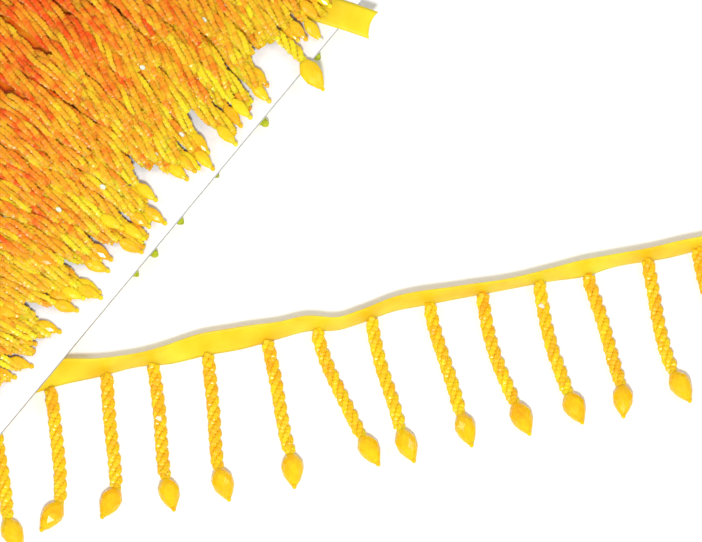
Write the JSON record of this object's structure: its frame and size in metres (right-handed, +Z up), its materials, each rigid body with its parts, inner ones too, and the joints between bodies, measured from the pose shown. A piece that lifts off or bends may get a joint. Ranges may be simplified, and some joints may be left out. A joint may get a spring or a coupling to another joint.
{
  "type": "roll of beaded fringe on a flat card",
  "caption": "Satin tape with hanging strands of faceted glass beads, wound round a flat white card, with one loose length pulled out and a flat cut end.",
  "frame": {"origin": "on the surface that the roll lies on, under the middle of its bounding box", "axes": "+X to the right along the loose length, +Y away across the surface, +Z up"},
  "size_m": [0.3764, 0.28, 0.0276],
  "materials": {
    "card": "matt white board",
    "tape": "yellow satin ribbon",
    "beads": "clear yellow to orange faceted glass"
  },
  "bodies": {
    "root": {"card": "card", "front_turns": "beads", "back_turns": "beads", "header_low": "tape", "header_mid": "tape", "header_top": "tape", "strands_low": "beads", "strands_mid": "beads", "strands_top": "beads", "tape_end": "tape", "loose_tape": "tape", "loose_strands": "beads"}
  },
  "joints": []
}
